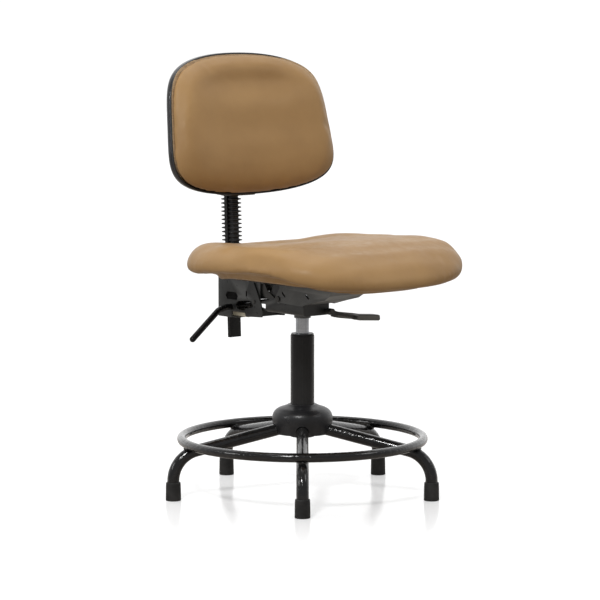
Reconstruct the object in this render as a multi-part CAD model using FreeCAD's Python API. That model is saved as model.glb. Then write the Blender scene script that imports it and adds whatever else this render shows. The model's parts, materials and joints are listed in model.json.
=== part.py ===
import FreeCAD, Part
import math
import os

# Swivel lab chair on a five-leg tube base with a foot ring, in millimetres.
# The origin is on the floor on the column axis. +Z is up, the chair faces -Y.
V = FreeCAD.Vector
os.makedirs("parts", exist_ok=True)

# Base
legCount = 5
firstLegAngle = -40.0
footRadius = 282.0
legTubeR = 12.7
legWall = 1.6
legBendR = 62.0
legBendZ = 41.0
legSlope = 11.6
ringRadius = 254.0
ringTubeR = 9.5
ringZ = 117.2
tipHeight = 38.0
hubR = 33.0

# Gas column
columnR = 25.0
columnInnerR = 22.5
columnTop = 337.0
columnLow = 121.0
hubLow = 124.0
cylinderR = 14.0
cylinderInnerR = 12.5
rodR = 5.0
runFit = 0.05

# Mechanism under the seat
houseX = 35.0
houseFront = -45.0
houseRear = 92.0
houseBottom = 380.0
houseTop = 412.0
sheet = 2.5
houseBend = 8.0
seatPivotY = 24.0
seatPivotZ = 412.0
flangeIn = 43.5
flangeOut = 46.5
plateZ = 455.5
backPivotY = 121.0
backPivotZ = 397.0
bracketIn = 29.0
bracketOut = 32.0
clampY = 200.0
clampZ = 380.0
clampR = 6.5

# Upright bar, leaning back slightly
barWidth = 30.0
barThick = 8.0
barLowZ = 310.0
barHighZ = 752.0
barLowY = 227.5
barLean = 2.1
barTan = math.tan(math.radians(barLean))

# Seat
seatHalf = 264.0
seatFront = -330.0
seatRear = 164.0
seatBottom = 471.0
seatTop = 540.0

# Backrest
backHalf = 214.5
backHigh = 150.0
backZ = 771.0
backY = 216.0
backTilt = 8.97
backCurve = 715.0
backTaper = 0.078


def save(name, shape):
    shape.exportStep("parts/" + name + ".step")


def box(x0, x1, y0, y1, z0, z1):
    return Part.makeBox(x1 - x0, y1 - y0, z1 - z0, V(x0, y0, z0))


def rod(radius, start, end):
    start = V(*start)
    step = V(*end) - start
    return Part.makeCylinder(radius, step.Length, start, step)


def ring(outer, inner, z0, z1):
    return rod(outer, (0, 0, z0), (0, 0, z1)).cut(rod(inner, (0, 0, z0 - 1), (0, 0, z1 + 1)))


def closedWire(points):
    return Part.makePolygon(list(points) + [points[0]])


def sidePrism(points, x0, x1):
    face = Part.Face(closedWire([V(x0, y, z) for y, z in points]))
    return face.extrude(V(x1 - x0, 0, 0))


def frontPrism(points, y0, y1):
    face = Part.Face(closedWire([V(x, y0, z) for x, z in points]))
    return face.extrude(V(0, y1 - y0, 0))


def smooth(points, closed=False):
    curve = Part.BSplineCurve()
    curve.interpolate([V(*p) for p in points], PeriodicFlag=closed)
    return curve.toShape()


def spin(edges):
    return Part.Face(Part.Wire(edges)).revolve(V(0, 0, 0), V(0, 0, 1), 360)


def lathe(points):
    return Part.Face(closedWire([V(r, 0, z) for r, z in points])).revolve(V(0, 0, 0), V(0, 0, 1), 360)


def sweep(wire, radius):
    first = wire.OrderedEdges[0]
    start = first.valueAt(first.FirstParameter)
    run = first.tangentAt(first.FirstParameter)
    profile = Part.Wire([Part.makeCircle(radius, start, run)])
    return wire.makePipeShell([profile], True, True)


def turned(shape, angle):
    shape = shape.copy()
    shape.rotate(V(0, 0, 0), V(0, 0, 1), angle)
    return shape


def barY(z):
    return barLowY + (z - barLowZ) * barTan


def alongBar(halfX, halfY, z0, z1):
    low, high = barY(z0), barY(z1)
    points = [(low - halfY, z0), (low + halfY, z0), (high + halfY, z1), (high - halfY, z1)]
    return sidePrism(points, -halfX, halfX)


# ---- base ----
slope = math.radians(legSlope)
bendX = footRadius - legBendR
tangentX = bendX + legBendR * math.sin(slope)
tangentZ = legBendZ + legBendR * math.cos(slope)
innerX = 26.0
innerZ = tangentZ + (tangentX - innerX) * math.tan(slope)
middle = math.radians(90 - legSlope) / 2
legStart = V(innerX, 0, innerZ)
bendStart = V(tangentX, 0, tangentZ)
bendMiddle = V(bendX + legBendR * math.cos(middle), 0, legBendZ + legBendR * math.sin(middle))
bendEnd = V(footRadius, 0, legBendZ)
legEnd = V(footRadius, 0, 5)
legPath = Part.Wire([
    Part.makeLine(legStart, bendStart),
    Part.Arc(bendStart, bendMiddle, bendEnd).toShape(),
    Part.makeLine(bendEnd, legEnd)])
ringOuter = Part.makeTorus(ringRadius, ringTubeR, V(0, 0, ringZ))
leg = sweep(legPath, legTubeR).cut(sweep(legPath, legTubeR - legWall))
leg = leg.cut(rod(hubR, (0, 0, 100), (0, 0, 200))).cut(ringOuter)
tip = lathe([(0, 0), (15.2, 0), (16, 0.8), (16, 4), (15.6, 30), (15.2, tipHeight - 1),
             (14.4, tipHeight), (legTubeR, tipHeight), (legTubeR, 5), (0, 5)])
tip.translate(V(footRadius, 0, 0))
for number in range(legCount):
    direction = firstLegAngle + 360.0 / legCount * number - 90
    save("leg_%d" % (number + 1), turned(leg, direction))
    save("foot_tip_%d" % (number + 1), turned(tip, direction))
save("foot_ring", ringOuter.cut(Part.makeTorus(ringRadius, ringTubeR - 1.5, V(0, 0, ringZ))))
save("base_hub", ring(hubR, columnR, hubLow, 175))

# ---- hub cover, a moulded dome with five arched slots ----
domeOut = [(58.5, 0, 129), (61.3, 0, 143), (63.5, 0, 159), (60.5, 0, 172.5), (50, 0, 181.5),
           (36, 0, 186.6), (29.5, 0, 190)]
domeIn = [(56, 0, 129), (58.7, 0, 143.4), (60.8, 0, 159.4), (58, 0, 171), (48.6, 0, 179),
          (35, 0, 184), (25.3, 0, 186)]
lipTop = V(25.3, 0, 190)
cover = spin([
    smooth(domeOut),
    Part.makeLine(V(*domeOut[-1]), lipTop),
    Part.makeLine(lipTop, V(*domeIn[-1])),
    smooth(domeIn),
    Part.makeLine(V(*domeIn[0]), V(*domeOut[0]))])
slotR = legTubeR + 1.5
slotStart = V(38, 0, tangentZ + (tangentX - 38) * math.tan(slope))
slotEnd = V(75, 0, tangentZ + (tangentX - 75) * math.tan(slope))
slot = rod(slotR, slotStart, slotEnd).fuse(box(38, 75, -slotR, slotR, 120, 139))
for number in range(legCount):
    direction = firstLegAngle + 360.0 / legCount * number - 90
    cover = cover.cut(turned(slot, direction))
save("hub_cover", cover)

# ---- fixed outer column ----
save("column_tube", lathe([(columnInnerR, columnLow), (columnR, columnLow), (columnR, columnTop - 1.2),
                           (columnR - 1.2, columnTop), (columnInnerR, columnTop)]))
save("guide_bush", ring(columnInnerR, cylinderR + runFit, 250, columnTop).fuse(
    ring(23.4, cylinderR + runFit, columnTop, columnTop + 2.5)))
save("tube_end_plate", ring(columnInnerR, rodR + runFit, 121, 125))
save("bearing_lower_race", ring(14, 8, 125, 127))

# ---- rod with its clip, piston and thrust bearing: turns in the tube ----
groove = ring(7, 4, 119.3, 120.5)
save("piston_rod", rod(rodR, (0, 0, 117.5), (0, 0, 300)).cut(groove))
save("rod_clip", ring(8.5, 4, 119.3, 120.5))
save("piston", ring(cylinderInnerR - runFit, rodR, 286.6, 298))
balls = []
for number in range(10):
    turn = 2 * math.pi * number / 10
    balls.append(Part.makeSphere(2, V(11 * math.cos(turn), 11 * math.sin(turn), 127 + runFit + 2)))
save("bearing_balls", Part.Compound(balls))
save("bearing_upper_race", ring(14, rodR, 131 + runFit, 133 + runFit))
save("bump_ring", ring(12.5, rodR, 133 + runFit, 139.5))

# ---- gas cylinder and its valve pin: rises with the seat ----
save("lift_cylinder", lathe([
    (cylinderInnerR, 140), (cylinderR, 140), (cylinderR, 374), (13.2, 420),
    (3 + runFit, 420), (3 + runFit, 362), (cylinderInnerR, 362)]))
save("rod_gland", ring(cylinderInnerR, rodR + runFit, 141.5, 156))
pinTop = 426.0
save("release_pin", rod(3, (0, 0, 366), (0, 0, pinTop)))

# ---- mechanism housing: rounded channel with a closed front ----


def channel(half, bottom, top, radius, y0, y1):
    c = radius * (1 - math.sqrt(0.5))
    edges = [
        Part.makeLine(V(-half, y0, top), V(-half, y0, bottom + radius)),
        Part.Arc(V(-half, y0, bottom + radius), V(-half + c, y0, bottom + c),
                 V(-half + radius, y0, bottom)).toShape(),
        Part.makeLine(V(-half + radius, y0, bottom), V(half - radius, y0, bottom)),
        Part.Arc(V(half - radius, y0, bottom), V(half - c, y0, bottom + c),
                 V(half, y0, bottom + radius)).toShape(),
        Part.makeLine(V(half, y0, bottom + radius), V(half, y0, top)),
        Part.makeLine(V(half, y0, top), V(-half, y0, top))]
    return Part.Face(Part.Wire(edges)).extrude(V(0, y1 - y0, 0))


earTop = seatPivotZ + 9
housing = channel(houseX, houseBottom, earTop, houseBend, houseFront, houseRear)
housing = housing.cut(channel(houseX - sheet, houseBottom + sheet, earTop + 1, houseBend - sheet,
                              houseFront + sheet, houseRear + 1))
trimLine = [(houseFront - 1, 404), (houseFront + 20, houseTop), (seatPivotY - 12, earTop + 0.01),
            (seatPivotY - 12, 440), (houseFront - 1, 440)]
housing = housing.cut(sidePrism(trimLine, -40, 40))
trimLine = [(seatPivotY + 12, earTop + 0.01), (seatPivotY + 20, houseTop), (houseRear + 1, 400),
            (houseRear + 1, 440), (seatPivotY + 12, 440)]
housing = housing.cut(sidePrism(trimLine, -40, 40))
# The bracket's side plates swing past these rear corners.
housing = housing.cut(box(-40, -27.5, 79, 95, 370, 396)).cut(box(27.5, 40, 79, 95, 370, 396))
# The height lever leaves through this notch.
housing = housing.cut(box(30, 40, -9, 9, 392, 440))
lockShaftX = 26.0
lockShaftZ = 388.0
housing = housing.cut(rod(4 + runFit, (lockShaftX, -60, lockShaftZ), (lockShaftX, -30, lockShaftZ)))
housing = housing.cut(rod(4 + runFit, (-40, seatPivotY, seatPivotZ), (40, seatPivotY, seatPivotZ)))
housing = housing.cut(rod(17.5, (0, 0, 370), (0, 0, 390)))
save("mechanism_housing", housing)
save("taper_socket", lathe([(cylinderR, 372), (17.5, 372), (17.5, 414), (13.31, 414),
                            (cylinderR, 374)]))

# ---- height lever on its two lugs ----
leverX = 28.0
leverZ = 404.0
lug = sidePrism([(9, 382.5), (12, 382.5), (12, 410), (9, 410)], 22, 32.5)
lugs = lug.fuse(sidePrism([(-12, 382.5), (-9, 382.5), (-9, 410), (-12, 410)], 22, 32.5))
bore = rod(2.5, (leverX, -20, leverZ), (leverX, 20, leverZ))
save("lever_lugs", lugs.cut(bore).cut(housing))
save("lever_pivot_pin", rod(2.5, (leverX, -13.5, leverZ), (leverX, 13.5, leverZ)))
arm = frontPrism([
    (-4, pinTop + 0.3), (19.5, pinTop + 0.3), (22, 404), (28, 397), (36, 396), (66, 380),
    (97, 369), (97, 373), (67, 385), (38, 402), (34, 410), (26, 412), (24, 431), (-4, 431)], -4, 4)
arm = arm.fuse(rod(6, (leverX, -7.5, leverZ), (leverX, 7.5, leverZ)))
save("height_lever_arm", arm.cut(rod(2.5 + runFit, (leverX, -20, leverZ), (leverX, 20, leverZ))))


def paddle(x0, x1, y, z0, z1, wide, thick):
    grip = frontPrism([
        (x0, z0 - 4), (x0 + 8, z0 - thick / 2), (x1 - 3, z1 - thick / 2), (x1, z1 - thick / 2 + 3),
        (x1 - 1, z1 + thick / 2 - 2), (x1 - 4, z1 + thick / 2), (x0 + 8, z0 + thick / 2),
        (x0, z0 + 4)], y - wide / 2, y + wide / 2)
    edges = [e for e in grip.Edges if e.Length > 25]
    return grip.makeFillet(3, edges)


grip = paddle(88, 150, 0, 371, 364, 24, 13)
save("height_lever_grip", grip.cut(arm))

# ---- tilt lever, fixed to the lock shaft that enters the front of the housing ----
shaft = rod(4, (lockShaftX, -66, lockShaftZ), (lockShaftX, -24, lockShaftZ))
knuckle = rod(7, (lockShaftX, -67, lockShaftZ), (lockShaftX, -52, lockShaftZ))
tiltArm = frontPrism([(lockShaftX, 382), (58, 376.5), (98, 369), (98, 374), (60, 382),
                      (lockShaftX + 2, 392)], -64, -56)
tiltArm = knuckle.fuse(tiltArm).fuse(shaft)
save("tilt_lever_arm", tiltArm)
tiltGrip = paddle(92, 154, -60, 371, 367, 24, 13)
save("tilt_lever_grip", tiltGrip.cut(tiltArm))

# ---- seat plate with two side flanges and two rear ears ----
flange = [(-146, plateZ), (-144, 432), (-126, 422), (-90, 413.5), (-50, 403), (seatPivotY - 8, seatPivotZ - 7),
          (seatPivotY, seatPivotZ - 9), (seatPivotY + 8, seatPivotZ - 5), (32, 417), (19, 436),
          (24, plateZ)]
ear = [(104, plateZ), (108, 392), (114, 386), (128, 386), (134, 392), (138, plateZ)]
smallSlot = box(-60, 60, -7, 7, -2, 2)
smallSlot.rotate(V(0, 0, 0), V(1, 0, 0), 40)
plate = box(-92, 92, -146, 140, plateZ, plateZ + 3)
frontWeb = sidePrism([(-146, plateZ), (-144, 432), (-126, 422), (-90, 413.5), (-62, 406.2),
                      (-62, 409.4), (-90, 416.7), (-125, 425.2), (-141, 434), (-143, plateZ)],
                     -flangeOut, flangeOut)
plate = plate.cut(box(-22, 22, -22, 90, plateZ - 1, plateZ + 4)).fuse(frontWeb)
for side in (-1, 1):
    wing = sidePrism(flange, side * flangeIn, side * flangeOut)
    for y, z in ((6, 423), (-70, 425)):
        hole = smallSlot.copy()
        hole.translate(V(0, y, z))
        wing = wing.cut(hole)
    plate = plate.fuse(wing).fuse(sidePrism(ear, side * 25, side * 28))
plate = plate.cut(rod(4, (-60, seatPivotY, seatPivotZ), (60, seatPivotY, seatPivotZ)))
plate = plate.cut(rod(4 + runFit, (-60, backPivotY, backPivotZ), (60, backPivotY, backPivotZ)))
boltSpots = [(x, y) for x in (-76, 76) for y in (-118, 118)]
for x, y in boltSpots:
    plate = plate.cut(rod(3.2, (x, y, 450), (x, y, 460)))
plate = plate.cut(box(45, 48, -13, 13, 395, 414))
save("seat_plate", plate)
pivotPin = rod(4, (-49.5, seatPivotY, seatPivotZ), (49.5, seatPivotY, seatPivotZ))
for side in (-1, 1):
    head = rod(6.5, (side * flangeOut, seatPivotY, seatPivotZ),
               (side * 49.5, seatPivotY, seatPivotZ))
    pivotPin = pivotPin.fuse(head)
save("seat_pivot_pin", pivotPin)
lockBlock = sidePrism([(44, 402), (74, 398), (76, 430), (66, plateZ), (46, plateZ)], -20, 20)
save("lock_block", lockBlock)
bolts = []
for x, y in boltSpots:
    bolts.append(rod(3.2, (x, y, plateZ - 0.2), (x, y, 468)).fuse(rod(6, (x, y, 451), (x, y, plateZ))))
save("seat_bolts", Part.Compound(bolts))

# ---- seat board and cushion ----
seatMiddle = (seatRear + seatFront) / 2
seatLong = (seatRear - seatFront) / 2


def seatOutline(inset, z):
    points = []
    for step in range(48):
        turn = 2 * math.pi * step / 48
        c, s = math.cos(turn), math.sin(turn)
        power = 2 / (2.75 if s < 0 else 3.37)
        x = (seatHalf - inset) * math.copysign(abs(c) ** power, c)
        y = seatMiddle + (seatLong - inset) * math.copysign(abs(s) ** power, s)
        points.append((x, y, z))
    return Part.Face(Part.Wire([smooth(points, True)]))


boardThick = 12.0
boardInset = 62.0
boardGap = 0.3


def profile(points):
    return smooth([(-300, y, z) for y, z in points])


def underShape(drop):
    # everything below the moulded underside: flat in the middle, arched up along both sides
    middle = Part.Wire([
        profile([(-335, 447), (-325, 449), (-290, 456), (-240, 465), (-200, seatBottom)]),
        Part.makeLine(V(-300, -200, seatBottom), V(-300, 170, seatBottom)),
        Part.makeLine(V(-300, 170, seatBottom), V(-300, 170, 400)),
        Part.makeLine(V(-300, 170, 400), V(-300, -335, 400)),
        Part.makeLine(V(-300, -335, 400), V(-300, -335, 447))])
    low = Part.Face(middle).extrude(V(600, 0, 0))
    arch = Part.Wire([
        profile([(-270, 459), (-255, 465), (-230, 472), (-205, 481), (-175, 489), (-140, 491),
                 (-105, 488), (-70, 485.5), (-30, 483.5), (0, 481), (30, 477), (60, 474),
                 (110, 471.8), (170, 471.2)]),
        Part.makeLine(V(-300, 170, 471.2), V(-300, 170, 400)),
        Part.makeLine(V(-300, 170, 400), V(-300, -270, 400)),
        Part.makeLine(V(-300, -270, 400), V(-300, -270, 459))])
    sides = Part.Face(arch).extrude(V(600, 0, 0))
    for side in (-1, 1):
        wingLine = [(side * x, -340, z) for x, z in ((90, 470), (130, 473), (170, 478), (210, 484),
                                                     (240, 489), (280, 496))]
        wing = Part.Wire([
            smooth(wingLine),
            Part.makeLine(V(side * 280, -340, 496), V(side * 280, -340, 410)),
            Part.makeLine(V(side * 280, -340, 410), V(side * 90, -340, 410)),
            Part.makeLine(V(side * 90, -340, 410), V(side * 90, -340, 470))])
        low = low.fuse(Part.Face(wing).extrude(V(0, 520, 0)).common(sides))
    low.translate(V(0, 0, -drop))
    return low


board = seatOutline(boardInset, 400).extrude(V(0, 0, 120))
board = board.fuse(box(-100, 100, 60, 136, 400, 520))
board = board.common(underShape(boardGap)).cut(underShape(boardGap + boardThick))
for x, y in boltSpots:
    board = board.cut(rod(3.2, (x, y, 450), (x, y, 468)))
save("seat_board", board)
cushionSide = Part.Wire([
    Part.makeLine(V(-300, -325, 430), V(-300, 165, 430)),
    Part.makeLine(V(-300, 165, 430), V(-300, 165, 520)),
    profile([(165, 520), (160, 529), (145, 533), (100, 532.5), (40, 533), (-60, 538),
             (-170, 543), (-235, 536), (-290, 516), (-322, 490), (-331, 468), (-325, 449)]),
    Part.makeLine(V(-300, -325, 449), V(-300, -325, 430))])
cushion = seatOutline(0, 425).extrude(V(0, 0, 140))
cushion = cushion.common(Part.Face(cushionSide).extrude(V(600, 0, 0)))
save("seat_cushion", cushion.cut(underShape(0)))

# ---- back bracket: two side plates and a rear web ----
bracketSide = [(93.5, 376), (96, 366), (150, 363), (152, 371), (196, 371), (198, 357), (243, 357),
               (243, 452), (131, 452), (100, 398)]
webFront = barThick / 2 + 1
windows = [
    sidePrism([(180, 396), (212, 396), (218, 404), (212, 412), (182, 412), (176, 404)], -60, 60),
    sidePrism([(124, 386), (160, 374.8), (178, 378), (184, 387), (176, 394), (140, 398), (126, 396)],
              -60, 60),
    box(-60, 60, 145, 149, 406, 418)]
bracket = None
for side in (-1, 1):
    wing = sidePrism(bracketSide, side * bracketIn, side * bracketOut)
    bracket = wing if bracket is None else bracket.fuse(wing)
web = alongBar(bracketIn + 0.5, 1.25, 371, 452)
web.translate(V(0, webFront + 1.25, 0))
bracket = bracket.fuse(web).fuse(box(-bracketOut, bracketOut, 150, 219, 449, 452))
bracket = bracket.fuse(box(-bracketOut, bracketOut, 112, 115, 365.5, 381))
windows[1] = windows[1].cut(rod(9, (-70, backPivotY, backPivotZ), (70, backPivotY, backPivotZ)))
for window in windows:
    bracket = bracket.cut(window)
bracket = bracket.cut(rod(4, (-60, backPivotY, backPivotZ), (60, backPivotY, backPivotZ)))
bracket = bracket.cut(rod(clampR + runFit, (-60, clampY, clampZ), (60, clampY, clampZ)))
save("back_bracket", bracket)
backPin = rod(4, (-33.5, backPivotY, backPivotZ), (33.5, backPivotY, backPivotZ))
save("back_pivot_pin", backPin)
barSlot = alongBar(barWidth / 2 + 0.1, barThick / 2 + 0.1, 300, 470)
guide = alongBar(28.5, 8, 386, 449)
guide.translate(V(0, -3.2, 0))
save("bar_guide", guide.cut(barSlot))
clampPlate = box(-19, 19, 194, 240, 355.5, 359.5).cut(barSlot)
save("clamp_plate", clampPlate)
wedge = sidePrism([(160, 359.5), (163, 367.5), (196, 369.5), (224.5, 370.5), (224.5, 359.5)],
                  -17, 17)
wedge = wedge.cut(barSlot)
save("nylon_wedge", wedge)
liners = []
for side in (-1, 1):
    liners.append(sidePrism([(54, 404), (62, 400), (101, 410), (106, 438), (98, 440), (88, 424)],
                            side * 21.5, side * 23.5))
save("friction_plates", Part.Compound(liners))
save("friction_bolt", rod(3, (-21.5, 98, 424), (21.5, 98, 424)))

# ---- clamp lever: one bent round bar ----
leverPoints = [V(31, clampY, clampZ), V(-46, clampY, clampZ), V(-66, clampY, 374.5),
               V(-135.9, clampY, 317.9)]


def bentWire(points, radius):
    edges = []
    start = points[0]
    for index in range(1, len(points) - 1):
        corner = points[index]
        back = (points[index - 1] - corner).normalize()
        ahead = (points[index + 1] - corner).normalize()
        half = back.getAngle(ahead) / 2
        cut = radius / math.tan(half)
        first = corner + back * cut
        last = corner + ahead * cut
        inward = (back + ahead).normalize()
        centre = corner + inward * (radius / math.sin(half))
        edges.append(Part.makeLine(start, first))
        edges.append(Part.Arc(first, centre - inward * radius, last).toShape())
        start = last
    edges.append(Part.makeLine(start, points[-1]))
    return Part.Wire(edges)


clampLever = sweep(bentWire(leverPoints, 24), clampR)
clampLever = clampLever.fuse(Part.makeSphere(clampR, leverPoints[-1]))
save("clamp_lever", clampLever)

# ---- bellows round the upright bar ----
bellowsLow = 453.0
bellowsHigh = 617.0
finCount = 18
pitch = (bellowsHigh - bellowsLow) / finCount
rib = []
for number in range(finCount):
    z = bellowsLow + number * pitch
    rib += [(8.3, z), (8.3, z + pitch * 0.22), (12.5, z + pitch * 0.5), (12.5, z + pitch * 0.72)]
rib.append((8.3, bellowsHigh))
outer = [(barY(z) + half, z) for half, z in rib]
outer += [(barY(z) - half, z) for half, z in reversed(rib)]
wide = [(half + 8.5 + (half - 8.3) * 0.5, z) for half, z in rib]
wideFace = wide + [(-x, z) for x, z in reversed(wide)]
bellows = sidePrism(outer, -40, 40).common(frontPrism(wideFace, 180, 280))
bellows = bellows.cut(alongBar(barWidth / 2 + 0.4, barThick / 2 + 0.4, 440, 630))
save("bellows", bellows)


# ---- backrest, built upright in its own plane and then leaned back ----
def backOutline(inset):
    points = []
    for step in range(60):
        turn = 2 * math.pi * step / 60
        c, s = math.cos(turn), math.sin(turn)
        z = (backHigh - inset) * math.copysign(abs(s) ** (2 / 4.82), s)
        x = (backHalf - inset) * math.copysign(abs(c) ** (2 / 2.16), c)
        x = x * (1 - backTaper * z / backHigh)
        points.append((x, 300, z))
    face = Part.Face(Part.Wire([smooth(points, True)]))
    return face.extrude(V(0, -600, 0))


def slab(rear, front):
    axisY = -backCurve
    disc = rod(backCurve + rear, (0, axisY, -200), (0, axisY, 200))
    disc = disc.cut(rod(backCurve + front, (0, axisY, -201), (0, axisY, 201)))
    return disc.common(box(-300, 300, -300, 100, -200, 200))


def curved(rear, front, inset):
    return slab(rear, front).common(backOutline(inset))


def lean(shape):
    shape = shape.copy()
    shape.rotate(V(0, 0, 0), V(1, 0, 0), -backTilt)
    shape.translate(V(0, backY, backZ))
    return shape


shellDish = curved(0, -12, 0).cut(curved(-3, -14, 3.5))
pocket = sidePrism([(196, 618), (253, 618), (258, 764), (246, 782), (214, 786)], -37, 37)
pocket = pocket.makeFillet(9, [e for e in pocket.Edges if e.BoundBox.YMin > 240])
pocketInner = sidePrism([(180, 610), (250, 610), (255, 762), (244, 778), (200, 782)], -34, 34)
dishSpace = lean(curved(-3, -60, 3.5))
shell = lean(shellDish).fuse(pocket.cut(dishSpace).cut(lean(curved(0, -60, 0))))
windowBlock = pocketInner.common(box(-34, 34, 150, 300, 600, 790))
shell = shell.cut(windowBlock)
save("back_shell", shell)
trimRing = backOutline(0).cut(backOutline(3.6)).common(slab(-12, -16))
save("back_edge_trim", lean(trimRing))
board = lean(curved(-3, -16, 3.7))
mountTop = barY(742) - barThick / 2
mount = sidePrism([(197, 656), (barY(656) - barThick / 2, 656), (mountTop, 742), (212, 742)],
                  -22, 22)
mount = mount.cut(sidePrism([(196, 663), (barY(663) - 7, 663), (barY(735) - 7, 735),
                             (208, 735)], -19, 19)).cut(board)
screws = []
mountHoles = []
for z in (676, 722):
    screwEnd = barY(z) - 22
    screws.append(rod(3, (0, barY(z) + 4, z), (0, screwEnd, z)).fuse(
        rod(5.5, (0, barY(z) + 4, z), (0, barY(z) + 7.5, z))))
    mountHoles.append(rod(3, (0, barY(z) + 4, z), (0, screwEnd, z)))
bar = alongBar(barWidth / 2, barThick / 2, barLowZ, barHighZ)
for hole in mountHoles:
    bar = bar.cut(hole)
    mount = mount.cut(hole)
save("upright_bar", bar)
save("back_mount", mount)
save("mount_bolts", Part.Compound(screws))
save("back_board", board)
# ---- back cushion ----
save("back_cushion", lean(curved(-16, -52, 1.5)))
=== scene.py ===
import bpy
import bmesh
import json
import math
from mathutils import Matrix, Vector


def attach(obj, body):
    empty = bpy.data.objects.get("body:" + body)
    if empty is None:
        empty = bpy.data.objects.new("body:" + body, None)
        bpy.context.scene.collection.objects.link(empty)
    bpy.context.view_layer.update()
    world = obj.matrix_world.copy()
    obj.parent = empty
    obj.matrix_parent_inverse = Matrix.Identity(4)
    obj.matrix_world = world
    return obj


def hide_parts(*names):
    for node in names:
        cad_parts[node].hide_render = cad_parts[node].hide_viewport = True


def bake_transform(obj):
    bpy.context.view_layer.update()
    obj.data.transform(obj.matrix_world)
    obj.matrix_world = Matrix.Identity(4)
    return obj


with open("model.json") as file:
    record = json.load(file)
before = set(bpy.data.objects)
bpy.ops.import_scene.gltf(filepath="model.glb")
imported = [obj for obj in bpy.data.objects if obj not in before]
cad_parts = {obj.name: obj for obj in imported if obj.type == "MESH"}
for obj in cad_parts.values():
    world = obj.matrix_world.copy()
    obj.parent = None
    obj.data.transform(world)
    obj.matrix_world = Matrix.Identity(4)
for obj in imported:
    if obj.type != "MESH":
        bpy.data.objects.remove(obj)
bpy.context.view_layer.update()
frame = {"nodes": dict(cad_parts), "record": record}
scene = bpy.context.scene
nodes = frame["nodes"]
print("frame loaded:", len(nodes), "nodes")

# camera, looking at the chair's front right corner
view = {"place": (-3.8142, -4.5377, 1.0736), "turn": (83.604, 0.0, -40.0), "lens": 170.99}
camData = bpy.data.cameras.new("viewCamera")
camData.sensor_width = 36
camData.lens = view["lens"]
camData.clip_end = 60
cam = bpy.data.objects.new("viewCamera", camData)
cam.location = view["place"]
cam.rotation_euler = [math.radians(a) for a in view["turn"]]
scene.collection.objects.link(cam)
scene.camera = cam
scene.view_settings.view_transform = "Standard"


def newMaterial(name, colour, rough, metal=0.0, coat=0.0, coatRough=0.1, sheen=0.0, specular=0.5):
    mat = bpy.data.materials.new(name)
    mat.use_nodes = True
    tree = mat.node_tree
    shader = tree.nodes["Principled BSDF"]
    shader.inputs["Base Color"].default_value = (*colour, 1)
    shader.inputs["Roughness"].default_value = rough
    shader.inputs["Metallic"].default_value = metal
    shader.inputs["Coat Weight"].default_value = coat
    shader.inputs["Coat Roughness"].default_value = coatRough
    shader.inputs["Sheen Weight"].default_value = sheen
    shader.inputs["Specular IOR Level"].default_value = specular
    return mat, tree, shader


def place(tree, stretch=(1, 1, 1)):
    coords = tree.nodes.new("ShaderNodeTexCoord")
    mapping = tree.nodes.new("ShaderNodeMapping")
    mapping.inputs["Scale"].default_value = stretch
    tree.links.new(coords.outputs["Object"], mapping.inputs["Vector"])
    return mapping.outputs["Vector"]


def noise(tree, vector, scale, detail=3.0, rough=0.5):
    node = tree.nodes.new("ShaderNodeTexNoise")
    node.inputs["Scale"].default_value = scale
    node.inputs["Detail"].default_value = detail
    node.inputs["Roughness"].default_value = rough
    tree.links.new(vector, node.inputs["Vector"])
    return node.outputs["Fac"]


def cells(tree, vector, scale, feature="DISTANCE_TO_EDGE"):
    node = tree.nodes.new("ShaderNodeTexVoronoi")
    node.feature = feature
    node.inputs["Scale"].default_value = scale
    tree.links.new(vector, node.inputs["Vector"])
    return node.outputs["Distance"]


def ramp(tree, value, low, high, dark, light):
    node = tree.nodes.new("ShaderNodeValToRGB")
    node.color_ramp.elements[0].position = low
    node.color_ramp.elements[1].position = high
    node.color_ramp.elements[0].color = (*dark, 1)
    node.color_ramp.elements[1].color = (*light, 1)
    tree.links.new(value, node.inputs["Fac"])
    return node.outputs["Color"]


def span(tree, value, low, high):
    node = tree.nodes.new("ShaderNodeMapRange")
    node.inputs["From Min"].default_value = 0.3
    node.inputs["From Max"].default_value = 0.7
    node.inputs["To Min"].default_value = low
    node.inputs["To Max"].default_value = high
    tree.links.new(value, node.inputs["Value"])
    return node.outputs["Result"]


def bump(tree, height, strength, depth, before=None):
    node = tree.nodes.new("ShaderNodeBump")
    node.inputs["Strength"].default_value = strength
    node.inputs["Distance"].default_value = depth
    tree.links.new(height, node.inputs["Height"])
    if before is not None:
        tree.links.new(before, node.inputs["Normal"])
    return node.outputs["Normal"]


def finishSurface(tree, shader, colour=None, rough=None, normal=None):
    if colour is not None:
        tree.links.new(colour, shader.inputs["Base Color"])
    if rough is not None:
        tree.links.new(rough, shader.inputs["Roughness"])
    if normal is not None:
        tree.links.new(normal, shader.inputs["Normal"])


def lighterEdges(tree, colour, edgeColour, low=0.53, high=0.6):
    # sharp edges and corners are coloured lighter, the more so the sharper the surface turns
    geometry = tree.nodes.new("ShaderNodeNewGeometry")
    edge = ramp(tree, geometry.outputs["Pointiness"], low, high, (0, 0, 0), (1, 1, 1))
    mix = tree.nodes.new("ShaderNodeMix")
    mix.data_type = "RGBA"
    tree.links.new(edge, mix.inputs["Factor"])
    tree.links.new(colour, mix.inputs["A"])
    mix.inputs["B"].default_value = (*edgeColour, 1)
    return mix.outputs["Result"]


vinylLook = {"dark": (0.335, 0.197, 0.083), "light": (0.415, 0.252, 0.108), "grain": 620.0,
             "grainDepth": 0.00022, "wrinkle": 20.0}


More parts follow.
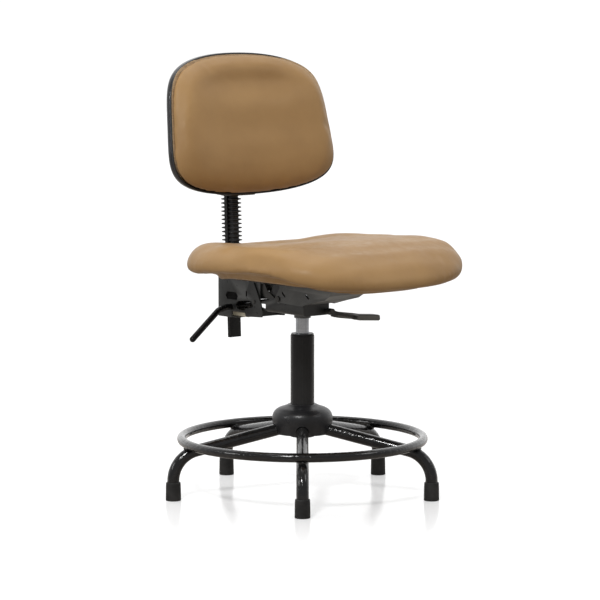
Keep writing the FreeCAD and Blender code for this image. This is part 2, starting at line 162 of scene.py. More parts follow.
def makeVinyl():
    mat, tree, shader = newMaterial("tanVinyl", vinylLook["light"], 0.44, sheen=0.02, specular=0.2)
    at = place(tree)
    tone = ramp(tree, noise(tree, at, 7, 4), 0.3, 0.72, vinylLook["dark"], vinylLook["light"])
    grain = cells(tree, at, vinylLook["grain"])
    rough = span(tree, noise(tree, at, 60, 3), 0.36, 0.5)
    soft = bump(tree, noise(tree, at, vinylLook["wrinkle"], 2), 0.25, 0.0012)
    pores = bump(tree, noise(tree, at, 1800, 2), 0.25, 0.0001, soft)
    normal = bump(tree, grain, 0.4, vinylLook["grainDepth"], pores)
    finishSurface(tree, shader, tone, rough, normal)
    return mat


# sharp edges take the lighter edge colour listed here
powderLook = {"base": (0.006, 0.006, 0.006), "dark": (0.004, 0.004, 0.004), "light": (0.01, 0.01, 0.011),
              "edgeColour": (0.03, 0.03, 0.03), "smooth": 0.08, "rough": 0.22}


def makePowder(name, lump, depth, coat):
    mat, tree, shader = newMaterial(name, powderLook["base"], 0.14, coat=coat, coatRough=0.05, specular=0.3)
    at = place(tree)
    tone = ramp(tree, noise(tree, at, 30, 4), 0.3, 0.75, powderLook["dark"], powderLook["light"])
    tone = lighterEdges(tree, tone, powderLook["edgeColour"], 0.56, 0.66)
    rough = span(tree, noise(tree, at, 90, 4), powderLook["smooth"], powderLook["rough"])
    lumps = bump(tree, noise(tree, at, lump, 2, 0.35), 1.0, depth)
    finishSurface(tree, shader, tone, rough, bump(tree, noise(tree, at, 900, 2), 0.2, 0.0001, lumps))
    return mat


def makePlastic(name, dark, light, rough, grain=1500.0, coat=0.0, depth=0.00012):
    mat, tree, shader = newMaterial(name, light, rough, coat=coat, specular=0.45)
    at = place(tree)
    tone = ramp(tree, noise(tree, at, 24, 4), 0.3, 0.72, dark, light)
    tone = lighterEdges(tree, tone, tuple(c * 2.2 + 0.01 for c in light), 0.55, 0.64)
    change = span(tree, noise(tree, at, 45, 4), rough - 0.07, rough + 0.08)
    normal = bump(tree, cells(tree, at, grain, "F1"), 0.35, depth)
    finishSurface(tree, shader, tone, change, normal)
    return mat


def makeSteel(name, dark, light, rough, stretch=(1, 1, 1), metal=0.85, depth=0.00006):
    mat, tree, shader = newMaterial(name, light, rough, metal=metal)
    at = place(tree, stretch)
    tone = ramp(tree, noise(tree, at, 18, 5, 0.6), 0.3, 0.7, dark, light)
    tone = lighterEdges(tree, tone, tuple(min(1, c * 1.6 + 0.05) for c in light), 0.53, 0.62)
    change = span(tree, noise(tree, at, 130, 5, 0.6), rough - 0.09, rough + 0.1)
    normal = bump(tree, noise(tree, at, 700, 3), 0.3, depth)
    finishSurface(tree, shader, tone, change, normal)
    return mat


def makeRubber():
    mat, tree, shader = newMaterial("tipRubber", (0.018, 0.018, 0.018), 0.6, specular=0.4)
    at = place(tree)
    tone = ramp(tree, noise(tree, at, 40, 5), 0.35, 0.75, (0.012, 0.012, 0.012), (0.035, 0.034, 0.033))
    rough = span(tree, noise(tree, at, 120, 3), 0.48, 0.7)
    finishSurface(tree, shader, tone, rough, bump(tree, noise(tree, at, 1300, 3), 0.4, 0.00015))
    return mat


def makeWood():
    mat, tree, shader = newMaterial("plyBoard", (0.5, 0.36, 0.2), 0.62)
    at = place(tree, (1, 9, 30))
    grain = noise(tree, at, 14, 6, 0.6)
    tone = ramp(tree, grain, 0.3, 0.7, (0.36, 0.23, 0.12), (0.58, 0.43, 0.26))
    finishSurface(tree, shader, tone, span(tree, grain, 0.52, 0.72), bump(tree, grain, 0.4, 0.0003))
    return mat


def makeCloth():
    mat, tree, shader = newMaterial("dustCloth", (0.02, 0.02, 0.021), 0.85, sheen=0.3)
    at = place(tree)
    weave = tree.nodes.new("ShaderNodeTexWave")
    weave.inputs["Scale"].default_value = 260
    weave.inputs["Distortion"].default_value = 1.5
    tree.links.new(at, weave.inputs["Vector"])
    tone = ramp(tree, noise(tree, at, 220, 4), 0.3, 0.7, (0.012, 0.012, 0.013), (0.035, 0.035, 0.037))
    finishSurface(tree, shader, tone, None, bump(tree, weave.outputs["Fac"], 0.4, 0.0003))
    return mat


vinyl = makeVinyl()
blackPowder = makePowder("blackPowder", 150.0, 0.0016, 0.7)
columnBlack = makePowder("columnBlack", 300.0, 0.0005, 0.0)
hubPlastic = makePlastic("hubPlastic", (0.012, 0.012, 0.013), (0.024, 0.024, 0.026), 0.34)
gripPlastic = makePlastic("gripPlastic", (0.05, 0.05, 0.048), (0.085, 0.085, 0.08), 0.42, 900.0)
shellPlastic = makePlastic("shellPlastic", (0.009, 0.009, 0.01), (0.018, 0.018, 0.02), 0.2, 700.0, 0.4)
bellowsRubber = makePlastic("bellowsRubber", (0.014, 0.014, 0.015), (0.03, 0.03, 0.031), 0.48, 800.0)
creamNylon = makePlastic("creamNylon", (0.62, 0.58, 0.44), (0.74, 0.7, 0.56), 0.4, 1200.0)
tipRubber = makeRubber()
pressedSteel = makeSteel("pressedSteel", (0.075, 0.078, 0.078), (0.125, 0.128, 0.126), 0.4, metal=0.25)
housingSteel = makeSteel("housingSteel", (0.02, 0.021, 0.021), (0.045, 0.047, 0.047), 0.34, metal=0.4)
darkSteel = makeSteel("darkSteel", (0.025, 0.025, 0.024), (0.055, 0.054, 0.05), 0.36, metal=0.5)
zincSteel = makeSteel("zincSteel", (0.42, 0.42, 0.43), (0.6, 0.6, 0.6), 0.3)
chromeSteel = makeSteel("chromeSteel", (0.3, 0.31, 0.34), (0.5, 0.52, 0.55), 0.16, (1, 1, 12), 1.0, 0.00002)
plyBoard = makeWood()
dustCloth = makeCloth()
print("finishes made")


def paint(piece, mat):
    piece.data.materials.clear()
    piece.data.materials.append(mat)


def addPiece(name, mesh, mat=None):
    piece = bpy.data.objects.new(name, mesh)
    scene.collection.objects.link(piece)
    if mat is not None:
        paint(piece, mat)
    return piece


def loftMesh(name, loops, closeStart=True, closeEnd=True):
    bm = bmesh.new()
    rows = [[bm.verts.new(p) for p in loop] for loop in loops]
    count = len(loops[0])
    for a, b in zip(rows, rows[1:]):
        for i in range(count):
            j = (i + 1) % count
            bm.faces.new((a[i], a[j], b[j], b[i]))
    for row, wanted in ((rows[0], closeStart), (rows[-1], closeEnd)):
        if wanted:
            middle = bm.verts.new(sum((v.co for v in row), Vector()) / count)
            for i in range(count):
                bm.faces.new((row[i], row[(i + 1) % count], middle))
    bmesh.ops.recalc_face_normals(bm, faces=bm.faces)
    mesh = bpy.data.meshes.new(name)
    bm.to_mesh(mesh)
    bm.free()
    mesh.shade_smooth()
    return mesh


def bakeModifiers(piece):
    dg = bpy.context.evaluated_depsgraph_get()
    dg.update()
    mesh = bpy.data.meshes.new_from_object(piece.evaluated_get(dg))
    piece.modifiers.clear()
    piece.data = mesh


def dressNode(node, mat, body, bevel=0.0, angle=35.0):
    # a merged, smooth-shaded copy of the CAD node takes its place
    bm = bmesh.new()
    bm.from_mesh(nodes[node].data)
    bmesh.ops.remove_doubles(bm, verts=bm.verts, dist=0.00001)
    bmesh.ops.dissolve_degenerate(bm, dist=0.000001, edges=bm.edges)
    if bevel:
        bmesh.ops.dissolve_limit(bm, angle_limit=math.radians(0.5), verts=bm.verts, edges=bm.edges)
    for face in bm.faces:
        face.smooth = True
    for edge in bm.edges:
        if len(edge.link_faces) == 2:
            edge.smooth = edge.calc_face_angle(0) < math.radians(angle)
    mesh = bpy.data.meshes.new(node + "Skin")
    bm.to_mesh(mesh)
    bm.free()
    piece = addPiece(node + "Skin", mesh, mat)
    if bevel:
        rounding = piece.modifiers.new("edges", "BEVEL")
        rounding.width = bevel
        rounding.segments = 2
        rounding.limit_method = "ANGLE"
        rounding.angle_limit = math.radians(angle)
        rounding.harden_normals = True
        rounding.use_clamp_overlap = True
        bakeModifiers(piece)
    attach(piece, body)
    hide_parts(node)


def newTree(name, inputs):
    tree = bpy.data.node_groups.new(name, "GeometryNodeTree")
    tree.interface.new_socket("Geometry", in_out="INPUT", socket_type="NodeSocketGeometry")
    tree.interface.new_socket("Geometry", in_out="OUTPUT", socket_type="NodeSocketGeometry")
    for label, kind in inputs.items():
        tree.interface.new_socket(label, in_out="INPUT", socket_type="NodeSocket" + kind)
    return tree, tree.nodes.new("NodeGroupInput"), tree.nodes.new("NodeGroupOutput")


def add(tree, kind, **sockets):
    node = tree.nodes.new(kind)
    for label, value in sockets.items():
        feed(tree, value, node.inputs[label.replace("_", " ")])
    return node


def feed(tree, value, socket):
    if isinstance(value, bpy.types.NodeSocket):
        tree.links.new(value, socket)
    else:
        socket.default_value = value


def maths(tree, operation, *values):
    node = tree.nodes.new("ShaderNodeMath")
    node.operation = operation
    for socket, value in zip(node.inputs, values):
        feed(tree, value, socket)
    return node.outputs[0]


def endTree(tree, geometry, out, mat):
    real = add(tree, "GeometryNodeRealizeInstances", Geometry=geometry)
    smoothNode = add(tree, "GeometryNodeSetShadeSmooth", Geometry=real.outputs[0])
    paint = add(tree, "GeometryNodeSetMaterial", Geometry=smoothNode.outputs[0])
    paint.inputs["Material"].default_value = mat
    tree.links.new(paint.outputs[0], out.inputs["Geometry"])


def growPiece(name, seed, tree, values):
    holder = bpy.data.objects.new(name + "Seed", seed)
    scene.collection.objects.link(holder)
    build = holder.modifiers.new("build", "NODES")
    build.node_group = tree
    for item in tree.interface.items_tree:
        if item.in_out == "INPUT" and item.name in values:
            build[item.identifier] = values[item.name]
    dg = bpy.context.evaluated_depsgraph_get()
    dg.update()
    mesh = bpy.data.meshes.new_from_object(holder.evaluated_get(dg))
    holder.modifiers.remove(build)
    bpy.data.objects.remove(holder)
    return addPiece(name, mesh)


def pathMesh(name, points, closed=True):
    mesh = bpy.data.meshes.new(name)
    count = len(points)
    edges = [(i, (i + 1) % count) for i in range(count if closed else count - 1)]
    mesh.from_pydata(points, edges, [])
    return mesh


# a closed form is remeshed and swollen by pressure, like a stuffed pad
padCloth = {"quality": 5, "mass": 0.3, "stretch": 15, "shear": 5, "bend": 2, "frames": 20, "relax": 14}


def swell(piece, form, hold):
    remesh = piece.modifiers.new("remesh", "REMESH")
    remesh.mode = "VOXEL"
    remesh.voxel_size = form["voxel"]
    bakeModifiers(piece)
    rest = [v.co.copy() for v in piece.data.vertices]
    cloth = piece.modifiers.new("cloth", "CLOTH")
    cloth.settings.quality = padCloth["quality"]
    cloth.settings.mass = padCloth["mass"]
    cloth.settings.tension_stiffness = padCloth["stretch"]
    cloth.settings.compression_stiffness = padCloth["stretch"]
    cloth.settings.shear_stiffness = padCloth["shear"]
    cloth.settings.bending_stiffness = padCloth["bend"]
    cloth.settings.use_pressure = True
    cloth.settings.uniform_pressure_force = form["pressure"]
    cloth.settings.effector_weights.gravity = 0
    cloth.collision_settings.use_collision = False
    for number in range(1, padCloth["frames"] + 1):
        scene.frame_set(number)
    dg = bpy.context.evaluated_depsgraph_get()
    moved = [v.co.copy() for v in piece.evaluated_get(dg).data.vertices]
    piece.modifiers.clear()
    scene.frame_set(1)
    for vertex, a, b in zip(piece.data.vertices, rest, moved):
        step = b - a
        limit = form["cap"] * hold(a)                      # no point moves further than this
        if step.length > limit:
            step = step * (limit / step.length)
        vertex.co = a + step
    relax = piece.modifiers.new("relax", "SMOOTH")
    relax.factor = 0.5
    relax.iterations = padCloth["relax"]
    subdivide = piece.modifiers.new("fine", "SUBSURF")
    subdivide.levels = subdivide.render_levels = 1
    bakeModifiers(piece)
    piece.data.shade_smooth()


seatForm = {"half": 0.264, "front": 0.330, "rear": 0.164, "frontPower": 2.75, "rearPower": 3.37,
            "steps": 144, "dish": 0.010, "waist": 0.015, "voxel": 0.005, "pressure": 4.0, "cap": 0.0035,
            "rim": [(0.014, 0.0), (0.007, 0.04), (0.003, 0.12), (0.0005, 0.26), (0.0005, 0.42),
                    (0.0035, 0.58), (0.009, 0.73), (0.017, 0.85), (0.028, 0.935), (0.042, 0.98),
                    (0.06, 1.0)],
            "nose": [(0.034, 0.0), (0.021, 0.03), (0.011, 0.11), (0.004, 0.24), (0.0005, 0.4),
                     (0.001, 0.56), (0.007, 0.71), (0.017, 0.84), (0.03, 0.93), (0.045, 0.98),
                     (0.062, 1.0)]}


seatCentre = (seatForm["rear"] - seatForm["front"]) / 2


def seatRing(inset):
    steps = seatForm["steps"]
    length = (seatForm["rear"] + seatForm["front"]) / 2
    points = []
    for i in range(steps):
        turn = 2 * math.pi * i / steps
        c, s = math.cos(turn), math.sin(turn)
        power = 2 / (seatForm["frontPower"] if s < 0 else seatForm["rearPower"])
        x = (seatForm["half"] - inset) * math.copysign(abs(c) ** power, c)
        y = seatCentre + (length - inset) * math.copysign(abs(s) ** power, s)
        points.append((x, y))
    return points


def drawIn(ring, share):
    return [(x * share, seatCentre + (y - seatCentre) * share) for x, y in ring]


def along(table, value):
    # smooth value between the listed stations
    if value <= table[0][0]:
        return table[0][1]
    for (a, low), (b, high) in zip(table, table[1:]):
        if value <= b:
            share = (value - a) / (b - a)
            return low + (high - low) * share * share * (3 - 2 * share)
    return table[-1][1]


# height of the underside down the middle, along the sides, and its rise towards a side
middleLine = [(-0.325, 0.4495), (-0.29, 0.4565), (-0.24, 0.4655), (-0.2, 0.4714), (0.17, 0.4714)]
sideLine = [(-0.33, 0.4495), (-0.29, 0.4575), (-0.255, 0.4655), (-0.23, 0.473), (-0.205, 0.482),
            (-0.175, 0.4895), (-0.14, 0.4915), (-0.07, 0.486), (0.0, 0.4815), (0.06, 0.4745),
            (0.17, 0.4718)]
riseLine = [(0.08, 0.4714), (0.13, 0.4735), (0.17, 0.4785), (0.21, 0.4845), (0.24, 0.4895), (0.28, 0.4965)]
# height of the rim's shoulder from the front edge to the rear
shoulderLine = [(-0.33, 0.494), (-0.3, 0.5095), (-0.26, 0.5255), (-0.2, 0.5365), (-0.13, 0.5385),
                (-0.05, 0.5345), (0.03, 0.532), (0.1, 0.5325), (0.17, 0.533)]


def underside(x, y):
    return max(along(middleLine, y), min(along(riseLine, abs(x)), along(sideLine, y)))


def shoulder(x, y):
    dip = 0.011 * along([(0.02, 0), (0.12, 1)], y) * (1 - along([(0.07, 0), (0.2, 1)], abs(x)))
    return along(shoulderLine, y) - dip


def seatTopZ(x, y, inward):
    z = shoulder(x, y) + 0.004 * (1 - (1 - inward) ** 2)
    z -= seatForm["dish"] * math.exp(-((x / 0.15) ** 2) - ((y - 0.02) / 0.12) ** 2)
    return z


def makeSeat():
    loops = []
    base = seatRing(0.014)
    for share in (0.15, 0.35, 0.55, 0.72, 0.85, 0.94):
        loops.append([(x, y, underside(x, y)) for x, y in drawIn(base, share)])
    for (inset, rise), (noseInset, noseRise) in zip(seatForm["rim"], seatForm["nose"]):
        loop = []
        for (x, y), (noseX, noseY) in zip(seatRing(inset), seatRing(noseInset)):
            # the front is a rounder bull nose than the steep rear bolster
            fore = along([(-0.27, 1), (-0.12, 0)], y)
            x, y = x + (noseX - x) * fore, y + (noseY - y) * fore
            share = rise + (noseRise - rise) * fore
            notch = seatForm["waist"] * math.exp(-((y + 0.165) / 0.055) ** 2)
            x -= math.copysign(notch * math.sin(math.pi * min(share, 1)) ** 1.5, x) * min(abs(x) / 0.2, 1)
            low, high = underside(x, y) + 0.0004, shoulder(x, y)
            loop.append((x, y, low + share * (high - low)))
        loops.append(loop)
    edge = seatRing(0.078)
    for share in (1.0, 0.92, 0.82, 0.7, 0.57, 0.43, 0.3, 0.17, 0.07):
        loops.append([(x, y, seatTopZ(x, y, 1 - share)) for x, y in drawIn(edge, share)])
    piece = addPiece("seatPad", loftMesh("seatPad", loops), vinyl)
    swell(piece, seatForm, lambda p: min(max((p.z - underside(p.x, p.y) - 0.006) / 0.03, 0), 1))
    paint(piece, vinyl)
    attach(piece, "seat")
    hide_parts("seat_cushion")


makeSeat()
print("seat cushion made")

# the vinyl is pulled under the board and stapled over a cloth dust cover
underForm = {"wrapIn": 0.09, "clothIn": 0.082, "below": 0.0133}
stapleForm = {"spacing": 0.024, "crown": 0.009, "seed": 4, "thick": (0.0012, 0.0008), "skew": 0.5,
              "inset": 0.085}


def boardUnder(x, y):
    return underside(x, y) - underForm["below"]


def makeUnderside():
    loops = []
    for inset, share in ((0.03, 0.0), (0.045, 0.05), (0.056, 0.3), (0.061, 0.8), (0.066, 1.0),
                         (underForm["wrapIn"], 1.0)):
        loop = []
        for x, y in seatRing(inset):
            top = underside(x, y) + 0.0006
            loop.append((x, y, top + share * (boardUnder(x, y) - top)))
        loops.append(loop)
    wrap = addPiece("seatWrap", loftMesh("seatWrap", loops, False, False), vinyl)
    thick = wrap.modifiers.new("thick", "SOLIDIFY")
    thick.thickness = 0.0009
    bakeModifiers(wrap)
    cover = []
    edge = seatRing(underForm["clothIn"])
    for share in (1.0, 0.9, 0.78, 0.66, 0.54, 0.42, 0.28, 0.14):
        loop = []
        for x, y in drawIn(edge, share):
            sag = 0.0004 * math.sin(x * 90) * math.sin(y * 70)
            loop.append((x, y, boardUnder(x, y) - 0.0012 + sag))
        cover.append(loop)
    under = [[(x, y, z - 0.0005) for x, y, z in loop] for loop in reversed(cover)]
    cloth = addPiece("dustCover", loftMesh("dustCover", under + cover), dustCloth)
    for piece, slotName in ((wrap, "vinyl"), (cloth, "black_plastic")):
        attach(piece, "seat")


makeUnderside()


def makeStaples():
    tree, source, out = newTree("stapleRow", {"spacing": "Float", "crown": "Float", "seed": "Int"})
    curve = add(tree, "GeometryNodeMeshToCurve", Mesh=source.outputs["Geometry"])
    spread = tree.nodes.new("GeometryNodeResampleCurve")
    spread.mode = "LENGTH"
    tree.links.new(curve.outputs[0], spread.inputs["Curve"])
    tree.links.new(source.outputs["spacing"], spread.inputs["Length"])
    size = tree.nodes.new("ShaderNodeCombineXYZ")
    tree.links.new(source.outputs["crown"], size.inputs["X"])
    size.inputs["Y"].default_value, size.inputs["Z"].default_value = stapleForm["thick"]
    staple = add(tree, "GeometryNodeMeshCube", Size=size.outputs[0])
    wobble = tree.nodes.new("FunctionNodeRandomValue")
    wobble.data_type = "FLOAT_VECTOR"
    wobble.inputs["Min"].default_value = (0, 0, -stapleForm["skew"])
    wobble.inputs["Max"].default_value = (0, 0, stapleForm["skew"])
    tree.links.new(source.outputs["seed"], wobble.inputs["Seed"])
    tangent = tree.nodes.new("GeometryNodeInputTangent")
    turn = tree.nodes.new("FunctionNodeAlignRotationToVector")
    turn.axis = "X"
    tree.links.new(tangent.outputs[0], turn.inputs["Vector"])
    spun = tree.nodes.new("FunctionNodeRotateRotation")
    tree.links.new(turn.outputs[0], spun.inputs["Rotation"])
    euler = tree.nodes.new("FunctionNodeEulerToRotation")
    tree.links.new(wobble.outputs["Value"], euler.inputs["Euler"])
    tree.links.new(euler.outputs[0], spun.inputs["Rotate By"])
    spots = add(tree, "GeometryNodeInstanceOnPoints", Points=spread.outputs[0])
    tree.links.new(staple.outputs["Mesh"], spots.inputs["Instance"])
    tree.links.new(spun.outputs[0], spots.inputs["Rotation"])
    endTree(tree, spots.outputs[0], out, darkSteel)
    line = [(x, y, boardUnder(x, y) - 0.0022) for x, y in seatRing(stapleForm["inset"])]
    staples = growPiece("seatStaples", pathMesh("staplePath", line), tree, stapleForm)
    staples.data.shade_flat()
    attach(staples, "seat")


makeStaples()
print("seat underside made")

backForm = {"half": 0.2145, "high": 0.150, "z": 0.771, "y": 0.216, "lean": math.tan(math.radians(8.97)),
            "curve": 0.715, "taper": 0.078, "sidePower": 2.16, "topPower": 4.82, "steps": 144,
            "voxel": 0.0045, "pressure": 4.0, "cap": 0.003,
            "roll": [(0.0, 0.0215), (0.0035, 0.0285), (0.009, 0.0355), (0.017, 0.0425), (0.028, 0.0485),
                     (0.045, 0.0535), (0.07, 0.0565), (0.12, 0.0585)],
            "hollow": 0.0105, "waist": 0.002, "fullness": 0.003}


def backPoint(x, depth, z):
    return (x, backForm["y"] + depth - x * x / (2 * backForm["curve"]) + z * backForm["lean"],
            backForm["z"] + z)


def backRing(inset):
    points = []
    for i in range(backForm["steps"]):
        turn = 2 * math.pi * i / backForm["steps"]
        c, s = math.cos(turn), math.sin(turn)
        z = (backForm["high"] - inset) * math.copysign(abs(s) ** (2 / backForm["topPower"]), s)
        x = (backForm["half"] - inset) * math.copysign(abs(c) ** (2 / backForm["sidePower"]), c)
        points.append((x * (1 - backForm["taper"] * z / backForm["high"]), z))
    return points


def backDepth(x, z, inset):
    # rolled edge, a soft hollow below the top roll, and a fuller lower half
    depth = along(backForm["roll"], inset)
    inner = along([(0.012, 0), (0.05, 1)], inset)
    depth -= inner * backForm["hollow"] * math.exp(-((z - 0.088) / 0.03) ** 2 - (x / 0.125) ** 4)
    depth -= inner * backForm["waist"] * math.exp(-((z + 0.005) / 0.03) ** 2 - (x / 0.15) ** 2)
    depth += inner * backForm["fullness"] * math.exp(-((z + 0.06) / 0.045) ** 2 - (x / 0.14) ** 2)
    return depth


def makeBackPad():
    loops = []
    flat = backRing(0.005)
    for share in (0.3, 0.6, 0.9):
        loops.append([backPoint(x * share, -0.0164, z * share) for x, z in flat])
    for inset, depth in ((0.005, 0.0164), (0.0035, 0.0172)):
        loops.append([backPoint(x, -depth, z) for x, z in backRing(inset)])
    for step in (0.0, 0.0018, 0.004, 0.007, 0.011, 0.016, 0.022, 0.029, 0.037, 0.046):
        loops.append([backPoint(x, -backDepth(x, z, step), z) for x, z in backRing(step + 0.0028)])
    edge = backRing(0.056)
    for share in (1.0, 0.92, 0.84, 0.76, 0.67, 0.58, 0.48, 0.37, 0.25, 0.12):
        loop = []
        for x, z in edge:
            px, pz = x * share, z * share
            loop.append(backPoint(px, -backDepth(px, pz, 0.0532 + (1 - share) * 0.11), pz))
        loops.append(loop)
    piece = addPiece("backPad", loftMesh("backPad", loops), vinyl)

    def hold(p):
        behind = backForm["y"] - 0.0165 - p.x * p.x / (2 * backForm["curve"])
        behind += (p.z - backForm["z"]) * backForm["lean"]
        return min(max((behind - p.y - 0.004) / 0.02, 0), 1)

    swell(piece, backForm, hold)
    paint(piece, vinyl)
    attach(piece, "backrest")
    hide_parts("back_cushion")


makeBackPad()
print("back cushion made")

shellForm = {"crown": 0.007, "wall": 0.0035}


def makeShell():
    loops = []
    inner = backRing(shellForm["wall"])
    for share in (0.3, 0.7, 1.0):
        loops.append([backPoint(x * share, -0.0032, z * share) for x, z in inner])
    loops.append([backPoint(x, -0.0125, z) for x, z in inner])
    for inset, depth in ((0.0022, 0.0131), (0.0004, 0.0129), (0.0, 0.0115), (0.0, 0.004), (0.0006, 0.0015),
                         (0.0025, 0.0)):
        loops.append([backPoint(x, -depth, z) for x, z in backRing(inset)])
    edge = backRing(0.006)
    for share in (1.0, 0.96, 0.9, 0.8, 0.68, 0.55, 0.42, 0.28, 0.14):
        rise = shellForm["crown"] * (1 - share ** 2) + 0.0006
        loops.append([backPoint(x * share, rise, z * share) for x, z in edge])
    shell = addPiece("backShell", loftMesh("backShell", loops), shellPlastic)
    trim = []
    for step in range(10):
        turn = 2 * math.pi * step / 10
        inset = 0.0021 - 0.0022 * math.cos(turn)
        depth = 0.0146 + 0.0021 * math.sin(turn)
        trim.append([backPoint(x, -depth, z) for x, z in backRing(inset)])
    trim.append(trim[0])
    bead = addPiece("backTrim", loftMesh("backTrim", trim, False, False), bellowsRubber)
    bm = bmesh.new()
    bm.from_mesh(bead.data)
    bmesh.ops.remove_doubles(bm, verts=bm.verts, dist=0.00001)
    bmesh.ops.recalc_face_normals(bm, faces=bm.faces)
    bm.to_mesh(bead.data)
    bm.free()
    for piece, node in ((shell, "back_shell"), (bead, "back_edge_trim")):
        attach(piece, "backrest")
        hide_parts(node)


spineForm = {"low": 0.6175, "high": 0.786, "half": 0.037, "steps": 48, "corner": 0.42, "rear": 0.2525,
             "slope": 0.03, "fallFrom": 0.72}


def makeSpine():
    # the moulded cover behind the shell that hides the bar's mount
    def ring(z, half, front, rear):
        points = []
        middle, deep = (front + rear) / 2, (rear - front) / 2
        for i in range(spineForm["steps"]):
            turn = 2 * math.pi * i / spineForm["steps"]
            c, s = math.cos(turn), math.sin(turn)
            x = half * math.copysign(abs(c) ** spineForm["corner"], c)
            y = middle + deep * math.copysign(abs(s) ** spineForm["corner"], s)
            points.append((x, y, z))
        return points

    def frontAt(z):
        return backForm["y"] + (z - backForm["z"]) * backForm["lean"] - 0.002

    def rearAt(z):
        return spineForm["rear"] + (z - spineForm["low"]) * spineForm["slope"]

    low, high = spineForm["low"], spineForm["high"]
    loops = []
    for z, inset in ((low + 0.02, 0.0033), (low, 0.0033), (low, 0.001), (low + 0.0015, 0.0)):
        loops.append(ring(z, spineForm["half"] - inset, frontAt(z) + inset, rearAt(z) - inset))
    for step in range(1, 15):
        share = step / 14
        z = low + 0.0015 + (high - low - 0.0015) * share
        fall = max(0, (share - spineForm["fallFrom"]) / 0.28)
        top = frontAt(z) + 0.006
        rear = rearAt(z) + (top - rearAt(z)) * fall ** 2.6
        half = spineForm["half"] * (1 - 0.1 * share - 0.25 * fall ** 3)
        loops.append(ring(z, half, frontAt(z), rear))
    spine = addPiece("backSpine", loftMesh("backSpine", loops), shellPlastic)
    fine = spine.modifiers.new("fine", "SUBSURF")
    fine.levels = fine.render_levels = 1
    bakeModifiers(spine)
    spine.data.shade_smooth()
    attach(spine, "backrest")


makeShell()
makeSpine()
print("backrest shell made")

# a ribbed boot round the bar; core is the share of the full size left between two ribs
bellowsForm = {"low": (0.0, 0.2328, 0.4535), "high": (0.0, 0.2388, 0.6205), "fins": 19, "wide": 0.046,
               "deep": 0.025, "core": 0.7, "corner": 0.006}


def makeBellows():
    sockets = {"low": "Vector", "high": "Vector", "fins": "Int", "wide": "Float", "deep": "Float",
               "core": "Float", "corner": "Float"}
    tree, source, out = newTree("bellowsRibs", sockets)
    line = add(tree, "GeometryNodeCurvePrimitiveLine", Start=source.outputs["low"],
               End=source.outputs["high"])
    count = maths(tree, "MULTIPLY", source.outputs["fins"], 16)
    fine = add(tree, "GeometryNodeResampleCurve", Curve=line.outputs[0], Count=count)
    station = tree.nodes.new("GeometryNodeSplineParameter")
    turns = maths(tree, "MULTIPLY", station.outputs["Factor"], source.outputs["fins"])
    away = maths(tree, "ABSOLUTE", maths(tree, "SUBTRACT", maths(tree, "FRACT", turns), 0.5))
    lip = tree.nodes.new("ShaderNodeMapRange")
    lip.interpolation_type = "SMOOTHSTEP"
    tree.links.new(away, lip.inputs["Value"])
    lip.inputs["From Min"].default_value = 0.1
    lip.inputs["From Max"].default_value = 0.3
    lip.inputs["To Min"].default_value = 1.0
    tree.links.new(source.outputs["core"], lip.inputs["To Max"])
    sized = add(tree, "GeometryNodeSetCurveRadius", Curve=fine.outputs[0], Radius=lip.outputs["Result"])
    outline = add(tree, "GeometryNodeCurvePrimitiveQuadrilateral", Width=source.outputs["deep"],
                  Height=source.outputs["wide"])
    rounded = tree.nodes.new("GeometryNodeFilletCurve")
    rounded.mode = "POLY"
    tree.links.new(outline.outputs[0], rounded.inputs["Curve"])
    rounded.inputs["Count"].default_value = 5
    tree.links.new(source.outputs["corner"], rounded.inputs["Radius"])
    skin = add(tree, "GeometryNodeCurveToMesh", Curve=sized.outputs[0])
    tree.links.new(rounded.outputs[0], skin.inputs["Profile Curve"])
    radius = tree.nodes.new("GeometryNodeInputRadius")
    tree.links.new(radius.outputs[0], skin.inputs["Scale"])
    endTree(tree, skin.outputs[0], out, bellowsRubber)
    seed = pathMesh("bellowsSeed", [(0, 0, 0), (0, 0, 0.01)], False)
    piece = growPiece("barBellows", seed, tree, bellowsForm)
    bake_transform(piece)
    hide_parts("bellows")


makeBellows()
print("bellows made")

# welds where the ring sits on the legs
legForm = {"first": -130.0, "count": 5, "contact": (0.2503, 0.1089), "normal": (0.4075, 0.9132),
           "along": 0.0072, "across": 0.0078, "ringTube": 0.019, "legTube": 0.0254, "legBend": 0.15,
           "steps": 28}
weldForm = {"spacing": 0.0018, "bead": 0.0023, "seed": 7}


